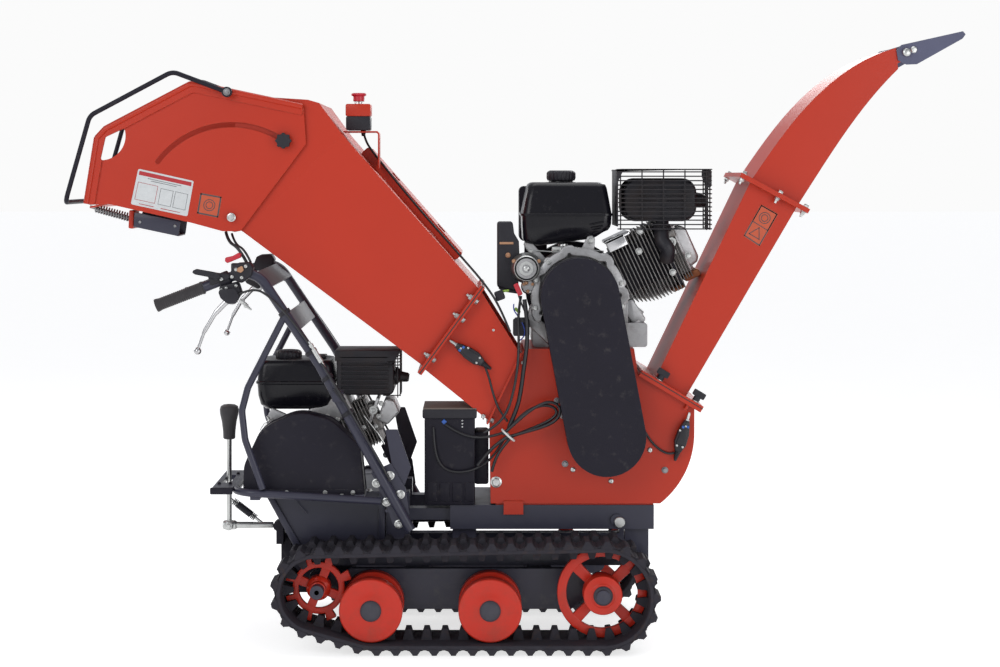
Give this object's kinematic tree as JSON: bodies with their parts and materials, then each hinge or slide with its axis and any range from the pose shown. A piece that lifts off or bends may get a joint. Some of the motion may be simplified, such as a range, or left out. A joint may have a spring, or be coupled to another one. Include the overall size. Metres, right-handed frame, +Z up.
{
  "type": "wood chipper",
  "caption": "Self-propelled wood chipper on rubber tracks, with a folding infeed hopper, belt-driven rotor, tall discharge chute and walk-behind handlebar.",
  "frame": {"origin": "on the ground under the middle of the machine's length and width", "axes": "+X towards the discharge chute, +Z up, -Y the side with the belt guard"},
  "size_m": [2.2754, 0.68, 1.546],
  "materials": {
    "orange_paint": "gloss powder coat",
    "frame_paint": "semi-gloss powder coat",
    "black_paint": "satin",
    "track_rubber": "matt",
    "black_plastic": "moulded",
    "grip_rubber": "matt",
    "cast_alloy": "as cast",
    "zinc_steel": "zinc plated",
    "bright_steel": "polished",
    "red_plastic": "moulded",
    "cable_jacket": "matt",
    "belt_rubber": "matt",
    "tool_steel": "ground"
  },
  "bodies": {
    "machine": {"infeed_chute": "orange_paint", "chute_cover": "orange_paint", "throat": "orange_paint", "rotor_housing": "orange_paint", "chassis_frame": "frame_paint", "track_frames": "frame_paint", "engine_bay": "frame_paint", "bumper_rail": "frame_paint", "handlebar_frame": "frame_paint", "belt_guard": "black_paint", "drive_belt_cover": "black_paint", "engine_tank": "black_paint", "drive_engine_tank": "black_paint", "engine_muffler": "black_paint", "muffler_guard": "black_paint", "drive_engine_muffler": "black_paint", "battery_box": "black_paint", "gearbox": "black_paint", "engine_shroud": "black_paint", "rubber_tracks": "track_rubber", "control_box": "black_plastic", "estop_box": "black_plastic", "lever_mounts": "black_plastic", "safety_switches": "black_plastic", "grips": "grip_rubber", "engine_block": "cast_alloy", "engine_cylinder": "cast_alloy", "drive_engine": "cast_alloy", "fasteners": "zinc_steel", "wiring": "cable_jacket", "drive_belts": "belt_rubber", "rotor_bearings": "tool_steel", "bed_knife": "tool_steel"},
    "hopper": {"hopper": "orange_paint", "trip_linkage": "frame_paint"},
    "stop_bar": {"stop_bar": "black_paint"},
    "hopper_knob_near": {"hopper_knob_near": "black_plastic"},
    "hopper_knob_far": {"hopper_knob_far": "black_plastic"},
    "discharge": {"discharge_chute": "orange_paint", "elbow": "orange_paint"},
    "deflector": {"deflector": "frame_paint"},
    "chute_knob_left": {"chute_knob_left": "black_plastic"},
    "chute_knob_right": {"chute_knob_right": "black_plastic"},
    "estop_button": {"estop_button": "red_plastic"},
    "rotor": {"rotor": "tool_steel"},
    "crank_pulley": {"crank_pulley": "tool_steel"},
    "clutch_lever_near": {"clutch_lever_near": "bright_steel"},
    "clutch_lever_far": {"clutch_lever_far": "bright_steel"},
    "throttle_lever": {"throttle_lever": "black_plastic"},
    "rocker_switch": {"rocker_switch": "red_plastic"},
    "gear_lever": {"gear_lever": "black_plastic"},
    "fuel_cap": {"fuel_cap": "black_plastic"},
    "sprocket_near": {"sprocket_near": "orange_paint"},
    "sprocket_far": {"sprocket_far": "orange_paint"},
    "idler_near": {"idler_near": "orange_paint"},
    "idler_far": {"idler_far": "orange_paint"},
    "rear_roller_near": {"rear_roller_near": "orange_paint"},
    "rear_roller_far": {"rear_roller_far": "orange_paint"},
    "front_roller_near": {"front_roller_near": "orange_paint"},
    "front_roller_far": {"front_roller_far": "orange_paint"}
  },
  "joints": [
    {"name": "hopper_fold", "type": "hinge", "parent": "machine", "child": "hopper", "pos_m": [-0.72, 0, 1.074], "axis": [0, 1, 0], "range_deg": [0, 85]},
    {"name": "stop_bar_swing", "type": "hinge", "parent": "hopper", "child": "stop_bar", "pos_m": [-0.729, 0, 1.387], "axis": [0, 1, 0], "range_deg": [-4, 0], "stiffness_Nm_per_rad": 25, "springref_deg": 22.92},
    {"name": "hopper_knob_near_turn", "type": "hinge", "parent": "machine", "child": "hopper_knob_near", "pos_m": [-0.58926, 0, 1.26565], "axis": [0, 1, 0], "continuous": true},
    {"name": "hopper_knob_far_turn", "type": "hinge", "parent": "machine", "child": "hopper_knob_far", "pos_m": [-0.58926, 0, 1.26565], "axis": [0, 1, 0], "continuous": true},
    {"name": "chute_lift", "type": "slide", "parent": "machine", "child": "discharge", "axis": [0.5121, 0, 0.8589], "range_m": [0, 0.15]},
    {"name": "deflector_tilt", "type": "hinge", "parent": "discharge", "child": "deflector", "pos_m": [0.987, 0, 1.492], "axis": [0, 1, 0], "range_deg": [0, 40]},
    {"name": "chute_knob_left_turn", "type": "hinge", "parent": "discharge", "child": "chute_knob_left", "pos_m": [0.35281, -0.161, 0.65388], "axis": [0.5121, 0, 0.8589], "continuous": true},
    {"name": "chute_knob_right_turn", "type": "hinge", "parent": "discharge", "child": "chute_knob_right", "pos_m": [0.44386, -0.161, 0.59961], "axis": [0.5121, 0, 0.8589], "continuous": true},
    {"name": "estop_press", "type": "slide", "parent": "machine", "child": "estop_button", "axis": [0, 0, -1], "range_m": [0, 0.005], "stiffness_N_per_m": 800},
    {"name": "rotor_spin", "type": "hinge", "parent": "machine", "child": "rotor", "pos_m": [0.219, 0, 0.524], "axis": [0, 1, 0], "continuous": true},
    {"name": "crank_spin", "type": "hinge", "parent": "machine", "child": "crank_pulley", "pos_m": [0.153, 0, 0.873], "axis": [0, 1, 0], "continuous": true},
    {"name": "clutch_near_squeeze", "type": "hinge", "parent": "machine", "child": "clutch_lever_near", "pos_m": [-0.71, -0.294, 0.872], "axis": [0, 1, 0], "range_deg": [0, 16], "stiffness_Nm_per_rad": 6, "springref_deg": -17.19},
    {"name": "clutch_far_squeeze", "type": "hinge", "parent": "machine", "child": "clutch_lever_far", "pos_m": [-0.71, 0.294, 0.872], "axis": [0, 1, 0], "range_deg": [0, 16], "stiffness_Nm_per_rad": 6, "springref_deg": -17.19},
    {"name": "throttle_turn", "type": "hinge", "parent": "machine", "child": "throttle_lever", "pos_m": [-0.748, -0.294, 0.931], "axis": [0, 1, 0], "range_deg": [-20, 20]},
    {"name": "rocker_tilt", "type": "hinge", "parent": "machine", "child": "rocker_switch", "pos_m": [-0.71, -0.265, 0.966], "axis": [0, 1, 0], "range_deg": [-8, 8], "stiffness_Nm_per_rad": 1},
    {"name": "gear_select", "type": "hinge", "parent": "machine", "child": "gear_lever", "pos_m": [-0.7415, -0.1, 0.282], "axis": [1, 0, 0], "range_deg": [-18, 18]},
    {"name": "fuel_cap_turn", "type": "hinge", "parent": "machine", "child": "fuel_cap", "pos_m": [0.114, 0, 1.165], "axis": [0, 0, 1], "continuous": true},
    {"name": "sprocket_near_spin", "type": "hinge", "parent": "machine", "child": "sprocket_near", "pos_m": [-0.5, 0, 0.152], "axis": [0, 1, 0], "continuous": true},
    {"name": "idler_near_spin", "type": "hinge", "parent": "machine", "child": "idler_near", "pos_m": [0.206, 0, 0.1405], "axis": [0, 1, 0], "continuous": true},
    {"name": "rear_roller_near_spin", "type": "hinge", "parent": "machine", "child": "rear_roller_near", "pos_m": [-0.367, 0, 0.107], "axis": [0, 1, 0], "continuous": true},
    {"name": "front_roller_near_spin", "type": "hinge", "parent": "machine", "child": "front_roller_near", "pos_m": [-0.073, 0, 0.107], "axis": [0, 1, 0], "continuous": true},
    {"name": "sprocket_far_spin", "type": "hinge", "parent": "machine", "child": "sprocket_far", "pos_m": [-0.5, 0, 0.152], "axis": [0, 1, 0], "continuous": true},
    {"name": "idler_far_spin", "type": "hinge", "parent": "machine", "child": "idler_far", "pos_m": [0.206, 0, 0.1405], "axis": [0, 1, 0], "continuous": true},
    {"name": "rear_roller_far_spin", "type": "hinge", "parent": "machine", "child": "rear_roller_far", "pos_m": [-0.367, 0, 0.107], "axis": [0, 1, 0], "continuous": true},
    {"name": "front_roller_far_spin", "type": "hinge", "parent": "machine", "child": "front_roller_far", "pos_m": [-0.073, 0, 0.107], "axis": [0, 1, 0], "continuous": true}
  ],
  "couplings": [
    {"joint": "crank_spin", "follows": "rotor_spin", "ratio": 1.5385},
    {"joint": "sprocket_near_spin", "follows": "idler_near_spin", "ratio": 1.2971},
    {"joint": "rear_roller_near_spin", "follows": "idler_near_spin", "ratio": 1.4187},
    {"joint": "front_roller_near_spin", "follows": "idler_near_spin", "ratio": 1.4187},
    {"joint": "sprocket_far_spin", "follows": "idler_far_spin", "ratio": 1.2971},
    {"joint": "rear_roller_far_spin", "follows": "idler_far_spin", "ratio": 1.4187},
    {"joint": "front_roller_far_spin", "follows": "idler_far_spin", "ratio": 1.4187}
  ]
}
